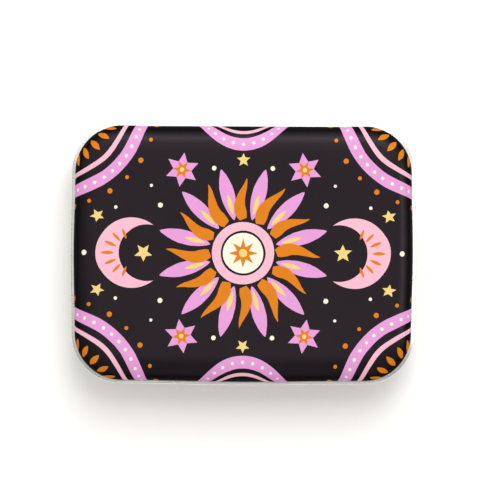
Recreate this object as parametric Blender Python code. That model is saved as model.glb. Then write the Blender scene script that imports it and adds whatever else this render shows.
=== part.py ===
"""A shallow hinged tin: a pressed lid with a rolled rim, a pressed tray with a neck
and a stop bead, and a wire that joins them through knuckles rolled from both sheets.

Metres, +Z up. The tin stands on the plane z = 0 with its hinge at the back (+Y).
Run it with: blender --background --python part.py
"""
import math

import bmesh
import bpy
from mathutils import Vector

# Outline of the lid's wall, seen from above
LID_WIDTH = 0.1080
LID_DEPTH = 0.0817
CORNER_RADIUS = 0.0150
SIDE_BOW = 0.00045

# Heights of the tray, up to the parting line, and of the lid above it
TRAY_HEIGHT = 0.0160
LID_HEIGHT = 0.0120

# Sheet and running gaps
SHEET = 0.00030
SEAT_GAP = 0.00030
NECK_GAP = 0.00030

# Lid
TOP_MARGIN = 0.0015
SHOULDER_REACH = 0.0085
SHOULDER_DROP = 0.0065
RIM_ROLL_RADIUS = 0.00050

# Tray
BEAD_PROJECTION = 0.00125
BEAD_HEIGHT = 0.00230
NECK_HEADROOM = 0.0013
NECK_ROLL_RADIUS = 0.00045
FOOT_FILLET = 0.0020
FOOT_WIDTH = 0.0032
PANEL_RISE = 0.00060
PANEL_SLOPE = 0.0010

# Hinge
HINGE_MARGIN = 0.0057
HINGE_SET_IN = 0.00012
HINGE_RAMP = 0.0014
PIN_RADIUS = 0.00055
PIN_CLEARANCE = 0.00010
PIN_END_BEVEL = 0.00015
KNUCKLE_COUNT = 5
KNUCKLE_GAP = 0.00035
KNUCKLE_SKIN = 0.00003
KNUCKLE_ROOT = 0.00090
SWING_GAP = 0.00030
LID_RELIEF = 0.00160
TRAY_RELIEF = 0.00165
LEDGE_RISE = 0.00060

# Turns of the rolled edges, and how finely curves are divided
RIM_TURN = math.radians(276)
NECK_TURN = math.radians(270)
KNUCKLE_TURN = math.radians(292)
RELIEF_FADE = math.radians(10)
CORNER_STEPS = 11
FADE_STEPS = 4
RAMP_STEPS = 3
SIDE_STEPS = 6
FRONT_STEPS = 8
SHOULDER_STEPS = 8
FILLET_STEPS = 4
BEAD_STEPS = 8
ROLL_STEPS = 8
KNUCKLE_STEPS = 12
PIN_SIDES = 20
PIN_END_STEPS = 2
SMOOTH_ANGLE = math.radians(32)

# Values that follow from the sizes above
TIN_HEIGHT = TRAY_HEIGHT + LID_HEIGHT
HALF_WIDTH = LID_WIDTH / 2
HALF_SHEET = SHEET / 2
FRONT_REACH = SIDE_BOW + BEAD_PROJECTION
CENTRE_Y = FRONT_REACH / 2
REAR_Y = CENTRE_Y + LID_DEPTH / 2
FRONT_Y = CENTRE_Y - LID_DEPTH / 2
RIM_REACH = 2 * RIM_ROLL_RADIUS - SHEET
NECK_LINE = SHEET + NECK_GAP
LID_EDGE_Z = TRAY_HEIGHT + SEAT_GAP / 2
BEAD_TOP_Z = TRAY_HEIGHT - SEAT_GAP / 2
NECK_TOP_Z = TIN_HEIGHT - SHOULDER_DROP - NECK_HEADROOM
KNUCKLE_RADIUS = PIN_RADIUS + PIN_CLEARANCE + SHEET - 2 * KNUCKLE_SKIN
HINGE_HALF = HALF_WIDTH - CORNER_RADIUS - HINGE_MARGIN
HINGE_WALL_Y = REAR_Y - HINGE_SET_IN
PIN_Y = HINGE_WALL_Y - KNUCKLE_SKIN - KNUCKLE_RADIUS
PIN_Z = TRAY_HEIGHT
POCKET_LINE = HINGE_WALL_Y - PIN_Y + KNUCKLE_RADIUS + SWING_GAP
CORNER_Y = REAR_Y - CORNER_RADIUS
RELIEF_TURN = math.acos((PIN_Y - SWING_GAP - CORNER_Y) / (CORNER_RADIUS + RIM_REACH))
RELIEF_HALF = HALF_WIDTH - CORNER_RADIUS + (CORNER_RADIUS + RIM_REACH) * math.sin(RELIEF_TURN)


class Station:
    """A place on the outline: its point and its outward direction.

    relief is 0 where the tray has its bead and 1 where it is pressed in behind the lid, and
    pocket is 0 on the neck's usual line and 1 where the wall makes room for the knuckles.
    """

    def __init__(self, point, normal, relief=0.0, pocket=0.0):
        self.point = Vector(point)
        self.normal = Vector(normal).normalized()
        self.relief = relief
        self.pocket = pocket

    def place(self, offset, height):
        """The point that lies offset outside the outline, at a height."""
        spot = self.point + self.normal * offset
        return Vector((spot.x, spot.y, height))


def ease(share):
    """A share from 0 to 1 that starts and ends without a kink, as pressed metal does."""
    return (1 - math.cos(math.pi * share)) / 2


def corner(centre_x, centre_y, start, turns_and_reliefs):
    """Stations round one corner, from turns counted from the start direction."""
    stations = []
    for turn, relief in turns_and_reliefs:
        angle = start + turn
        normal = Vector((math.cos(angle), math.sin(angle)))
        point = Vector((centre_x, centre_y)) + normal * CORNER_RADIUS
        stations.append(Station(point, normal, relief))
    return stations


def bowed_side(start, end, steps):
    """Stations between two corners, on a side that swells and meets both corners smoothly."""
    start, end = Vector(start), Vector(end)
    along = end - start
    length = along.length
    along.normalize()
    outward = Vector((along.y, -along.x))
    stations = []
    for step in range(1, steps):
        share = step / steps
        swell = SIDE_BOW * (1 - math.cos(math.tau * share)) / 2
        slope = SIDE_BOW * math.pi * math.sin(math.tau * share) / length
        point = start.lerp(end, share) + outward * swell
        stations.append(Station(point, outward - along * slope))
    return stations


def rear_turns():
    """Turns round a rear corner, counted from the rear side, each with its relief."""
    quarter = math.pi / 2
    first = max(2, round(CORNER_STEPS * RELIEF_TURN / quarter))
    rest = max(2, CORNER_STEPS - first - 1)
    fade_end = RELIEF_TURN + RELIEF_FADE
    turns = [(RELIEF_TURN * step / first, 1.0) for step in range(first)]
    for step in range(FADE_STEPS):
        share = step / FADE_STEPS
        turns.append((RELIEF_TURN + RELIEF_FADE * share, 1 - ease(share)))
    turns += [(fade_end + (quarter - fade_end) * step / rest, 0.0) for step in range(rest + 1)]
    return turns


def rear_side():
    """Stations along the straight rear side, from +X to -X, pressed in at the hinge."""
    back = Vector((0.0, 1.0))
    ramp = []
    for step in range(RAMP_STEPS + 1):
        share = ease(step / RAMP_STEPS)
        place = HINGE_HALF + HINGE_RAMP * (1 - step / RAMP_STEPS)
        ramp.append((place, REAR_Y - HINGE_SET_IN * share, share))
    stations = [Station((place, y), back, 1.0, share) for place, y, share in ramp]
    stations += [Station((HINGE_HALF * share, HINGE_WALL_Y), back, 1.0, 1.0)
                 for share in (0.5, 0, -0.5)]
    stations += [Station((-place, y), back, 1.0, share) for place, y, share in reversed(ramp)]
    return stations


def outline():
    """All stations, anticlockwise from the front left corner."""
    quarter = math.pi / 2
    inner_x = HALF_WIDTH - CORNER_RADIUS
    front_corner_y = FRONT_Y + CORNER_RADIUS
    even = [(quarter * step / CORNER_STEPS, 0.0) for step in range(CORNER_STEPS + 1)]
    from_rear = rear_turns()
    to_rear = [(quarter - turn, relief) for turn, relief in reversed(from_rear)]
    stations = corner(-inner_x, front_corner_y, math.pi, even)
    stations += bowed_side((-inner_x, FRONT_Y), (inner_x, FRONT_Y), FRONT_STEPS)
    stations += corner(inner_x, front_corner_y, -quarter, even)
    stations += bowed_side((HALF_WIDTH, front_corner_y), (HALF_WIDTH, CORNER_Y), SIDE_STEPS)
    stations += corner(inner_x, CORNER_Y, 0, to_rear)
    stations += rear_side()
    stations += corner(-inner_x, CORNER_Y, quarter, from_rear)
    stations += bowed_side((-HALF_WIDTH, CORNER_Y), (-HALF_WIDTH, front_corner_y), SIDE_STEPS)
    return stations


def arc(centre, radius, start, turn, steps, height_radius=None):
    """Points on an arc or, with a second radius, on part of an ellipse, both ends included."""
    rise = radius if height_radius is None else height_radius
    points = []
    for step in range(steps + 1):
        angle = start + turn * step / steps
        points.append((centre[0] + radius * math.cos(angle), centre[1] + rise * math.sin(angle)))
    return points


def both_sides(path, thickness):
    """The two faces of a sheet of a given thickness whose middle follows a path."""
    left, right = [], []
    points = [Vector(point) for point in path]
    for index, point in enumerate(points):
        before = (point - points[index - 1]).normalized() if index else None
        after = (points[index + 1] - point).normalized() if index + 1 < len(points) else None
        before = before or after
        after = after or before
        along = (before + after).normalized()
        across = Vector((-along.y, along.x))
        reach = thickness / 2 / max(along.dot(before), 0.5)
        left.append(point + across * reach)
        right.append(point - across * reach)
    return left, right


def lid_path(station):
    """The middle of the lid's sheet, from its flat top out, down the skirt and round the rim."""
    top = TIN_HEIGHT - HALF_SHEET
    shoulder = arc((-SHOULDER_REACH, TIN_HEIGHT - SHOULDER_DROP), SHOULDER_REACH - HALF_SHEET,
                   math.pi / 2, -math.pi / 2, SHOULDER_STEPS, SHOULDER_DROP - HALF_SHEET)
    roll_centre = (RIM_ROLL_RADIUS - SHEET, LID_EDGE_Z + RIM_ROLL_RADIUS)
    roll = arc(roll_centre, RIM_ROLL_RADIUS - HALF_SHEET, math.pi, RIM_TURN, ROLL_STEPS)
    return [(-SHOULDER_REACH - TOP_MARGIN, top)] + shoulder + roll


def bead_path():
    """The tray's stop bead: out over the wall, round, and in to the neck's line."""
    low = BEAD_TOP_Z - BEAD_HEIGHT
    wall, neck = -HALF_SHEET, -NECK_LINE - HALF_SHEET
    points = []
    for step in range(BEAD_STEPS + 1):
        share = step / BEAD_STEPS
        swell = (1 - math.cos(math.tau * share)) / 2
        lean = max(2 * share - 1, 0)
        offset = wall + (neck - wall) * lean ** 2 + BEAD_PROJECTION * swell
        points.append((offset, low + BEAD_HEIGHT * share))
    return points


def ledge_path(neck_line):
    """The tray's pressed-in stretch at the back: a ledge, then a wall up the given line."""
    low = PIN_Z - TRAY_RELIEF - HALF_SHEET
    wall, neck = -HALF_SHEET, -neck_line - HALF_SHEET
    points = []
    for step in range(BEAD_STEPS + 1):
        share = min(2 * step / BEAD_STEPS, 1)
        rest = max(2 * step / BEAD_STEPS - 1, 0)
        height = low + LEDGE_RISE * share + (BEAD_TOP_Z - low - LEDGE_RISE) * rest
        points.append((wall + (neck - wall) * share, height))
    return points


def mixed(first, second, share):
    """A path between two paths that have as many points."""
    return [tuple(Vector(one).lerp(Vector(other), share)) for one, other in zip(first, second)]


def tray_path(station):
    """The middle of the tray's sheet, from its floor out, up the wall and round the neck's top."""
    neck_line = NECK_LINE + (POCKET_LINE - NECK_LINE) * station.pocket
    panel_edge = FOOT_FILLET + FOOT_WIDTH
    floor = HALF_SHEET
    foot = arc((-FOOT_FILLET, FOOT_FILLET), FOOT_FILLET - HALF_SHEET, -math.pi / 2, math.pi / 2,
               FILLET_STEPS)
    upper = mixed(bead_path(), ledge_path(neck_line), station.relief)
    roll_centre = (-neck_line - NECK_ROLL_RADIUS, NECK_TOP_Z - NECK_ROLL_RADIUS)
    roll = arc(roll_centre, NECK_ROLL_RADIUS - HALF_SHEET, 0, NECK_TURN, ROLL_STEPS)
    inner = [(-panel_edge - PANEL_SLOPE, floor + PANEL_RISE), (-panel_edge, floor)]
    return inner + foot + upper + roll


def pressed_sheet(name, stations, path_at):
    """One closed body: a sheet that follows a path at every station, with a flat middle."""
    mesh = bmesh.new()
    rings = []
    for station in stations:
        left, right = both_sides(path_at(station), SHEET)
        section = left + right[::-1]
        rings.append([mesh.verts.new(station.place(spot.x, spot.y)) for spot in section])
    size = len(rings[0])
    for index, ring in enumerate(rings):
        following = rings[(index + 1) % len(rings)]
        for low in range(size - 1):
            high = low + 1
            mesh.faces.new((ring[low], ring[high], following[high], following[low]))
    mesh.faces.new([ring[0] for ring in rings])
    mesh.faces.new([ring[-1] for ring in reversed(rings)])
    return finish(name, mesh)


def extruded_strip(mesh, path, thickness, start_x, end_x):
    """Adds a closed strip whose section follows a path of (y, z), between two values of x."""
    left, right = both_sides(path, thickness)
    section = left + right[::-1]
    near = [mesh.verts.new((start_x, spot.x, spot.y)) for spot in section]
    far = [mesh.verts.new((end_x, spot.x, spot.y)) for spot in section]
    size = len(section)
    for low in range(size):
        high = (low + 1) % size
        mesh.faces.new((near[low], near[high], far[high], far[low]))
    for low in range(len(path) - 1):
        other = size - 1 - low
        mesh.faces.new((near[low + 1], near[low], near[other], near[other - 1]))
        mesh.faces.new((far[low], far[low + 1], far[other - 1], far[other]))


def finish(name, mesh):
    """Turns a bmesh into an object whose faces point out and whose curves look smooth."""
    bmesh.ops.recalc_face_normals(mesh, faces=mesh.faces)
    data = bpy.data.meshes.new(name)
    mesh.to_mesh(data)
    mesh.free()
    data.shade_smooth()
    data.set_sharp_from_angle(angle=SMOOTH_ANGLE)
    shape = bpy.data.objects.new(name, data)
    bpy.context.scene.collection.objects.link(shape)
    return shape


def as_cutter(shape):
    """Marks an object as a helper that only shapes another one."""
    shape.hide_render = True
    shape.display_type = "WIRE"
    return shape


def combine(shape, helper, operation):
    """Cuts a helper from an object, or joins it on."""
    change = shape.modifiers.new(helper.name, "BOOLEAN")
    change.operation = operation
    change.solver = "EXACT"
    change.object = as_cutter(helper)


def block(name, low, high):
    """A closed box between two corners."""
    mesh = bmesh.new()
    bmesh.ops.create_cube(mesh, size=1)
    for vertex in mesh.verts:
        for axis in range(3):
            vertex.co[axis] = high[axis] if vertex.co[axis] > 0 else low[axis]
    return finish(name, mesh)


def knuckle_spans(first):
    """Start and end of every second knuckle along X, beginning with the first or the second."""
    pitch = 2 * HINGE_HALF / KNUCKLE_COUNT
    spans = []
    for index in range(first, KNUCKLE_COUNT, 2):
        start = -HINGE_HALF + pitch * index + KNUCKLE_GAP / 2
        spans.append((start, start + pitch - KNUCKLE_GAP))
    return spans


def knuckles(name, first, rising, relief):
    """Knuckles that leave a wall on the pin's far side and roll forward round the pin."""
    thickness = SHEET - 2 * KNUCKLE_SKIN
    radius = KNUCKLE_RADIUS - thickness / 2
    side = 1 if rising else -1
    root = (PIN_Y + radius, PIN_Z - side * (relief + KNUCKLE_ROOT))
    roll = arc((PIN_Y, PIN_Z), radius, 0, side * KNUCKLE_TURN, KNUCKLE_STEPS)
    mesh = bmesh.new()
    for start, end in knuckle_spans(first):
        extruded_strip(mesh, [root] + roll, thickness, start, end)
    return finish(name, mesh)


def make_lid(stations):
    """The lid: pressed sheet, cut back behind the hinge, with its knuckles rolled on."""
    lid = pressed_sheet("lid", stations, lid_path)
    reach = CORNER_RADIUS + RIM_REACH
    low = (-RELIEF_HALF, CORNER_Y, PIN_Z - CORNER_RADIUS)
    high = (RELIEF_HALF, CORNER_Y + 2 * reach, PIN_Z + LID_RELIEF)
    combine(lid, block("lid_relief_cut", low, high), "DIFFERENCE")
    combine(lid, knuckles("lid_knuckles", 1, False, LID_RELIEF), "UNION")
    return lid


def make_tray(stations):
    """The tray: pressed sheet with its hinge pocket, and its knuckles rolled on."""
    tray = pressed_sheet("base_tray", stations, tray_path)
    combine(tray, knuckles("tray_knuckles", 0, True, TRAY_RELIEF), "UNION")
    return tray


def make_pin():
    """The hinge wire, turned round its axis, with its cut ends eased."""
    half = HINGE_HALF - KNUCKLE_GAP
    quarter = math.pi / 2
    shoulder = (half - PIN_END_BEVEL, PIN_RADIUS - PIN_END_BEVEL)
    right = arc(shoulder, PIN_END_BEVEL, quarter, -quarter, PIN_END_STEPS)
    left = [(-x, radius) for x, radius in reversed(right)]
    mesh = bmesh.new()
    rings = []
    for x, radius in left + right:
        angles = [math.tau * side / PIN_SIDES for side in range(PIN_SIDES)]
        rings.append([mesh.verts.new((x, radius * math.cos(angle), radius * math.sin(angle)))
                      for angle in angles])
    for ring, following in zip(rings, rings[1:]):
        for low in range(PIN_SIDES):
            high = (low + 1) % PIN_SIDES
            mesh.faces.new((ring[low], ring[high], following[high], following[low]))
    mesh.faces.new(rings[0])
    mesh.faces.new(rings[-1])
    pin = finish("hinge_pin", mesh)
    pin.location = (0, PIN_Y, PIN_Z)
    return pin


def material(name, colour, roughness, metallic):
    """A plain Principled material."""
    result = bpy.data.materials.new(name)
    result.use_nodes = True
    shader = result.node_tree.nodes["Principled BSDF"]
    shader.inputs["Base Color"].default_value = (*colour, 1)
    shader.inputs["Roughness"].default_value = roughness
    shader.inputs["Metallic"].default_value = metallic
    return result


def hang_on_hinge(lid):
    """Moves the lid's origin onto the hinge axis without moving its shape."""
    axis = Vector((0, PIN_Y, PIN_Z))
    for vertex in lid.data.vertices:
        vertex.co -= axis
    lid.location = axis


def main():
    """Clears the file and builds the tin."""
    for old in list(bpy.data.objects):
        bpy.data.objects.remove(old, do_unlink=True)
    stations = outline()
    lid = make_lid(stations)
    tray = make_tray(stations)
    pin = make_pin()
    hang_on_hinge(lid)
    lid.data.materials.append(material("black_lacquer", (0.019, 0.014, 0.017), 0.34, 0.0))
    tray.data.materials.append(material("bright_tinplate", (0.74, 0.73, 0.71), 0.30, 1.0))
    pin.data.materials.append(material("steel_wire", (0.55, 0.55, 0.55), 0.28, 1.0))


if __name__ == "__main__":
    main()
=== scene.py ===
"""A shallow hinged tin, dressed: tinplate sheets, satin black lacquer, printed inks and stage.

Everything is in metres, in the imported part's own frame: +Z up, hinge at the back (+Y).
"""
import math
import random

import bmesh
import bpy
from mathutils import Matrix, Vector


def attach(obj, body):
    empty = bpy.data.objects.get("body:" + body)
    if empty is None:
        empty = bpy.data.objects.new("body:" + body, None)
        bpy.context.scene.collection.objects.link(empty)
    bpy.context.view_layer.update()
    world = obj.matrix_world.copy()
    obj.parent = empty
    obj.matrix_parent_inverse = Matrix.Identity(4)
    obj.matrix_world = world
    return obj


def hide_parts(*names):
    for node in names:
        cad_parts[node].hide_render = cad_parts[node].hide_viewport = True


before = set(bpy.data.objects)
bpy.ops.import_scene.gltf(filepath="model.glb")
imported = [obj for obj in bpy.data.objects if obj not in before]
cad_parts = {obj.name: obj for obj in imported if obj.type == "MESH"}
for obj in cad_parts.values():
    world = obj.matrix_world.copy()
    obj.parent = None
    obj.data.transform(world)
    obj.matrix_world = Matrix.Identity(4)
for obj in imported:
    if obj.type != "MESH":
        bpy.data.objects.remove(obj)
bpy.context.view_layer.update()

bl_info = {
    "name": "Hinged Tin Box",
    "version": (1, 0, 0),
    "blender": (4, 5, 0),
    "location": "View3D > Sidebar > Tin Box",
    "description": "Builds a hinged tin with a printed lid, and a stage to show it on",
    "category": "Object",
}

SMOOTH_ANGLE = math.radians(32)
QUARTER = math.pi / 2
MM = 0.001
WELD_GAP = 0.001 * MM
TIDY_GAP = 0.002 * MM
MITRE_LIMIT = 0.5

# How finely the outline and the sections are divided
CORNER_STEPS = 26
FADE_STEPS = 6
RAMP_STEPS = 5
SIDE_STEPS = 16
FRONT_STEPS = 24
REAR_STEPS = 16
SHOULDER_STEPS = 30
SKIRT_STEPS = 3
FILLET_STEPS = 8
BEAD_STEPS = 16
ROLL_STEPS = 20
KNUCKLE_STEPS = 28
MIDDLE_RINGS = 5

# Turns of the rolled edges
RIM_TURN = math.radians(276)
NECK_TURN = math.radians(270)
KNUCKLE_TURN = math.radians(292)
RELIEF_FADE = math.radians(10)

# Lacquer and inks: how far each film reaches and how high it stands
COAT_MARGIN = 0.02 * MM
PRINT_MARGIN = 0.3 * MM
WRAP_CLEARANCE = 1.0 * MM
INK_ROOT = 0.01 * MM
FIRST_INK_MM = 0.018
INK_STEP_MM = 0.013

# What being drawn over the shoulder does to these films, and how dark the painted shade on the
# lacquer's shoulder becomes
DRAWN_TILT = (0.92, 0.66)
DRAWN_FADE = 1.0 * MM
DRAWN_ROUGHER = 0.2
DRAWN_SHINE = 0.01
SHOULDER_PAINTED_SHADE = 0.45

# The print, in millimetres from the lid's middle: its layout, how finely its patches and its
# lines are divided, and how far their edges wander
PRINT_SEED = 11
BAND_CENTRE = (61.1, 47.95)
BAND_RADIUS = 28.9
BEAD_RADIUS = 33.6
SCALLOP_Y = 47.95
SCALLOP_RADIUS = 13.3
MOON_X = 35.8
STAR_PLACE = (19.7, 26.7)
PATCH_GRAIN = 0.7
LINE_GRAIN = 0.6
RING_WANDER = 0.08
STAR_WANDER = 0.10
RIBBON_WANDER = 0.06
SWAY_WAVES = 0.72

# The stage. A lamp is its name, its setting, its direction and distance from the tin, its two
# sides, and whether gloss shows it.
FLOOR_REACH = 4
FLOOR_TONE = 0.8
CANOPY_EDGE = (0.02, 0.12)
WHITE = (1, 1, 1)
WARM_WHITE = (1, 0.97, 0.925)
SENSOR_WIDTH = 36.0
CAMERA_X = 2.21 * MM
CAMERA_Y = 1.02 * MM
SKIRT_RISE = 2 * MM
CAMERA_ROLL = math.radians(0.28)
LAMPS = (
    ("key_light", "key", (0.11, 0.54, 1.0), 1.0, (0.50, 0.60), False),
    ("rear_light", "rear", (0.13, 0.76, 0.49), 0.9, (1.1, 0.26), True),
    ("side_strip", "strip", (0.93, 0.02, 0.36), 0.7, (0.22, 0.04), True),
)


# Settings


def length(name, description, value):
    """A size in the panel."""
    return bpy.props.FloatProperty(name=name, description=description, default=value, min=0.0,
                                   precision=5, subtype="DISTANCE", unit="LENGTH")


def share(name, description, value, top=1.0):
    """A share or, with a top above 1, a plain number in the panel."""
    return bpy.props.FloatProperty(name=name, description=description, default=value, min=0.0,
                                   max=top, precision=3,
                                   subtype="FACTOR" if top == 1.0 else "NONE")


def power(name, description, value):
    """A lamp's power in the panel."""
    return bpy.props.FloatProperty(name=name, description=description, default=value, min=0.0,
                                   precision=3, subtype="POWER", unit="POWER")


def colour(name, description, value):
    """A colour in the panel."""
    return bpy.props.FloatVectorProperty(name=name, description=description, default=value,
                                         size=3, min=0.0, max=1.0, subtype="COLOR")


def linear(red, green, blue):
    """A colour written as it looks on screen, from 0 to 255, turned into light."""
    values = [value / 255 for value in (red, green, blue)]
    return tuple(v / 12.92 if v <= 0.04045 else ((v + 0.055) / 1.055) ** 2.4 for v in values)


class TinSizes(bpy.types.PropertyGroup):
    """Sizes of the tin."""

    width: length("Width", "Lid's wall, left to right, at the corners", 0.1080)
    depth: length("Depth", "Lid's wall, front to back, at the corners", 0.0817)
    corner_radius: length("Corner Radius", "Radius of the four corners", 0.0150)
    side_bow: length("Side Bow", "How far the front and the sides swell outward", 0.00045)
    tray_height: length("Tray Height", "From the floor to the line where the lid begins", 0.0160)
    lid_height: length("Lid Height", "From that line to the lid's top", 0.0120)
    sheet: length("Sheet", "Thickness of the tinplate", 0.0003)
    shoulder_reach: length("Shoulder Reach", "How far in from the wall the top is flat", 0.0085)
    shoulder_drop: length("Shoulder Drop", "How far the shoulder falls to the skirt", 0.0065)
    rim_roll: length("Rim Roll", "Radius of the lid's rolled edge", 0.0005)
    bead: length("Stop Bead", "How far the tray's bead stands out from its wall", 0.00125)
    hinge_margin: length("Hinge Margin", "From the corner's end to the hinge's end", 0.0057)
    coat: length("Lacquer", "Thickness of the lacquer on the lid", 0.00003)


class TinFinish(bpy.types.PropertyGroup):
    """Colours and finishes of the tin."""

    lacquer: colour("Lacquer", "Ground colour of the lid", (0.0112, 0.0089, 0.0115))
    lacquer_gloss: share("Lacquer Roughness", "0 is a mirror, 1 is matt", 0.33)
    lacquer_shine: share("Lacquer Shine", "Strength of the lacquer's reflections", 0.18)
    lacquer_sheen: colour("Lacquer Sheen", "Tint of the lacquer's reflections",
                          (1.0, 0.78, 0.88))
    lilac: colour("Lilac", "Ink of the bands, the broad rays and the large stars",
                  linear(236, 164, 225))
    pink: colour("Pink", "Ink of the sun's ring, the crescents and the lines inside the bands",
                 linear(255, 195, 216))
    orange: colour("Orange", "Ink of the flames, the strokes and the beads",
                   linear(229, 132, 22))
    yellow: colour("Yellow", "Ink of the short rays and the small stars", linear(250, 218, 136))
    cream: colour("Cream", "Ink of the sun's disc and the dots", linear(254, 252, 232))
    tin: colour("Tinplate", "The bare sheet's colour", (0.80, 0.785, 0.755))
    wire: colour("Wire", "The hinge wire's colour", (0.55, 0.55, 0.55))


class StageSettings(bpy.types.PropertyGroup):
    """Floor, lights and camera."""

    floor: share("Floor Tone", "How white the floor looks to the camera", 1.16, 2.0)
    ambient: share("Ambient", "Strength of the even light from all round", 0.66, 5.0)
    key: power("Key Light", "Power of the large light above and a little behind", 4.6)
    rear: power("Rear Light", "Power of the long light behind", 4.2)
    strip: power("Side Strip", "Power of the low strip light on the right", 1.0)
    canopy: share("Canopy", "Brightness of the wide canopy that gloss shows", 1.26, 5.0)
    camera_height: length("Camera Height", "From the lid to the camera", 3.0)
    view_width: length("View Width", "What the camera sees at the lid's skirt", 0.1609)


class Form:
    """Every measure of the tin, worked out from the sizes in the panel."""

    def __init__(self, sizes):
        self.sheet = sizes.sheet
        self.half_sheet = sizes.sheet / 2
        self.coat = sizes.coat
        self.radius = sizes.corner_radius
        self.bow = sizes.side_bow
        self.half_width = sizes.width / 2
        self.half_depth = sizes.depth / 2
        self.parting = sizes.tray_height
        self.top = sizes.tray_height + sizes.lid_height
        self.reach = sizes.shoulder_reach
        self.drop = sizes.shoulder_drop
        self.rim_roll = sizes.rim_roll
        self.bead = sizes.bead
        self.top_margin = 1.5 * MM
        self.seat_gap = 0.3 * MM
        self.bead_height = 2.3 * MM
        self.neck_line = self.sheet + 0.3 * MM
        self.neck_headroom = 1.3 * MM
        self.neck_roll = 0.45 * MM
        self.foot_fillet = 2.0 * MM
        self.foot_width = 3.2 * MM
        self.panel_rise = 0.6 * MM
        self.panel_slope = 1.0 * MM
        self.ledge_rise = 0.6 * MM
        self.knuckle_count = 5
        self.knuckle_gap = 0.35 * MM
        self.knuckle_skin = 0.03 * MM
        self.knuckle_root = 0.9 * MM
        self.swing_gap = 0.3 * MM
        self.lid_relief = 1.6 * MM
        self.tray_relief = 1.65 * MM
        self.hinge_ramp = 1.4 * MM
        hinge_set_in = 0.12 * MM
        wire_room = 0.65 * MM
        self.centre_y = (self.bow + self.bead) / 2
        self.rear_y = self.centre_y + self.half_depth
        self.front_y = self.centre_y - self.half_depth
        self.corner_x = self.half_width - self.radius
        self.corner_y = self.rear_y - self.radius
        self.rim_reach = 2 * self.rim_roll - self.sheet
        self.lid_edge = self.parting + self.seat_gap / 2
        self.bead_top = self.parting - self.seat_gap / 2
        self.neck_top = self.top - self.drop - self.neck_headroom
        self.knuckle_radius = wire_room + self.sheet - 2 * self.knuckle_skin
        self.knuckle_sheet = self.sheet - 2 * self.knuckle_skin
        self.hinge_half = self.corner_x - sizes.hinge_margin
        self.hinge_wall = self.rear_y - hinge_set_in
        self.pin_y = self.hinge_wall - self.knuckle_skin - self.knuckle_radius
        self.pin_z = self.parting
        self.pocket_line = self.hinge_wall - self.pin_y + self.knuckle_radius + self.swing_gap
        corner_reach = self.radius + self.rim_reach
        self.relief_turn = math.acos((self.pin_y - self.swing_gap - self.corner_y) / corner_reach)
        self.relief_half = self.corner_x + corner_reach * math.sin(self.relief_turn)
        self.cut_z = self.pin_z + self.lid_relief


# Outline and sections


class Station:
    """A place on the outline: its point, its outward direction, and how far it is pressed in."""

    def __init__(self, point, normal, relief=0.0, pocket=0.0):
        self.point = Vector(point)
        self.normal = Vector(normal).normalized()
        self.relief = relief
        self.pocket = pocket

    def place(self, offset, height):
        """The point that lies offset outside the outline, at a height."""
        spot = self.point + self.normal * offset
        return Vector((spot.x, spot.y, height))


def ease(value):
    """A share from 0 to 1 that starts and ends without a kink, as pressed metal does."""
    return (1 - math.cos(math.pi * value)) / 2


def corner(form, centre_x, centre_y, start, turns):
    """Stations round one corner, from turns counted from the start direction."""
    stations = []
    for turn, relief in turns:
        normal = Vector((math.cos(start + turn), math.sin(start + turn)))
        point = Vector((centre_x, centre_y)) + normal * form.radius
        stations.append(Station(point, normal, relief))
    return stations


def bowed_side(form, start, end, steps):
    """Stations between two corners, on a side that swells and meets both corners smoothly."""
    start, end = Vector(start), Vector(end)
    along = end - start
    reach = along.length
    along.normalize()
    outward = Vector((along.y, -along.x))
    stations = []
    for step in range(1, steps):
        part = step / steps
        swell = form.bow * (1 - math.cos(math.tau * part)) / 2
        slope = form.bow * math.pi * math.sin(math.tau * part) / reach
        stations.append(Station(start.lerp(end, part) + outward * swell, outward - along * slope))
    return stations


def rear_turns(form):
    """Turns round a rear corner, counted from the rear side, each with its relief."""
    first = max(2, round(CORNER_STEPS * form.relief_turn / QUARTER))
    rest = max(2, CORNER_STEPS - first - 1)
    fade_end = form.relief_turn + RELIEF_FADE
    turns = [(form.relief_turn * step / first, 1.0) for step in range(first)]
    for step in range(FADE_STEPS):
        part = step / FADE_STEPS
        turns.append((form.relief_turn + RELIEF_FADE * part, 1 - ease(part)))
    turns += [(fade_end + (QUARTER - fade_end) * step / rest, 0.0) for step in range(rest + 1)]
    return turns


def rear_side(form):
    """Stations along the straight rear side, from +X to -X, pressed in at the hinge."""
    back = Vector((0.0, 1.0))
    set_in = form.rear_y - form.hinge_wall
    ramp = []
    for step in range(RAMP_STEPS + 1):
        part = ease(step / RAMP_STEPS)
        place = form.hinge_half + form.hinge_ramp * (1 - step / RAMP_STEPS)
        ramp.append((place, form.rear_y - set_in * part, part))
    stations = [Station((place, y), back, 1.0, part) for place, y, part in ramp]
    for step in range(1, REAR_STEPS):
        place = form.hinge_half * (1 - 2 * step / REAR_STEPS)
        stations.append(Station((place, form.hinge_wall), back, 1.0, 1.0))
    stations += [Station((-place, y), back, 1.0, part) for place, y, part in reversed(ramp)]
    return stations


def outline(form):
    """All stations, anticlockwise from the front left corner."""
    x = form.corner_x
    front = form.front_y + form.radius
    even = [(QUARTER * step / CORNER_STEPS, 0.0) for step in range(CORNER_STEPS + 1)]
    from_rear = rear_turns(form)
    to_rear = [(QUARTER - turn, relief) for turn, relief in reversed(from_rear)]
    stations = corner(form, -x, front, math.pi, even)
    stations += bowed_side(form, (-x, form.front_y), (x, form.front_y), FRONT_STEPS)
    stations += corner(form, x, front, -QUARTER, even)
    side = form.half_width
    stations += bowed_side(form, (side, front), (side, form.corner_y), SIDE_STEPS)
    stations += corner(form, x, form.corner_y, 0, to_rear)
    stations += rear_side(form)
    stations += corner(form, -x, form.corner_y, QUARTER, from_rear)
    stations += bowed_side(form, (-side, form.corner_y), (-side, front), SIDE_STEPS)
    return stations


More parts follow.
